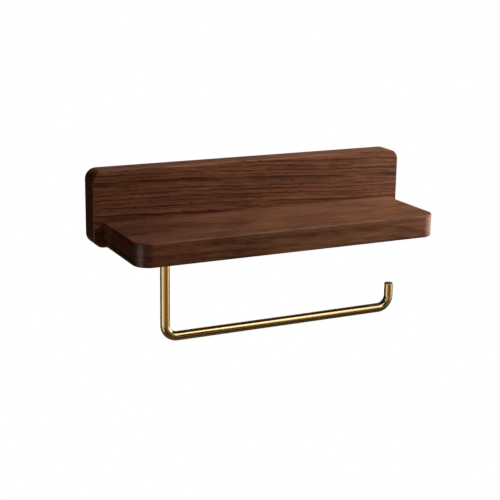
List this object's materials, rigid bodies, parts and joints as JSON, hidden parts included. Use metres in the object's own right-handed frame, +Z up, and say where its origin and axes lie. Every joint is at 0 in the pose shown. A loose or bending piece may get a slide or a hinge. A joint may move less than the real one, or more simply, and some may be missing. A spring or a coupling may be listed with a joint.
{
  "type": "toilet paper holder",
  "caption": "Wall-hung walnut shelf with a back board and a bent brass rod below it that holds a toilet roll and swings about its leg.",
  "frame": {"origin": "centre of the back board's rear face, which lies on the wall", "axes": "+Z up, +X along the shelf to the right as seen from the room, +Y out of the rear face into the wall"},
  "size_m": [0.3, 0.103, 0.1423],
  "materials": {
    "walnut": "oiled",
    "brass": "satin",
    "steel": "zinc plated",
    "beech": "raw",
    "nylon": "matt"
  },
  "bodies": {
    "root": {"back_board": "walnut", "shelf_board": "walnut", "shelf_dowel_left": "beech", "shelf_dowel_middle": "beech", "shelf_dowel_right": "beech", "shelf_screw_left": "steel", "shelf_screw_right": "steel", "hanger_plate_left": "steel", "hanger_plate_right": "steel", "hanger_screw_left_top": "steel", "hanger_screw_left_bottom": "steel", "hanger_screw_right_top": "steel", "hanger_screw_right_bottom": "steel", "arm_insert": "brass", "arm_washer": "nylon"},
    "arm": {"roll_arm": "brass", "arm_lock_collar": "brass"}
  },
  "joints": [
    {"name": "arm_swivel", "type": "hinge", "parent": "root", "child": "arm", "pos_m": [-0.102, -0.062, -0.031], "axis": [0, 0, 1], "range_deg": [-90, 14]}
  ]
}
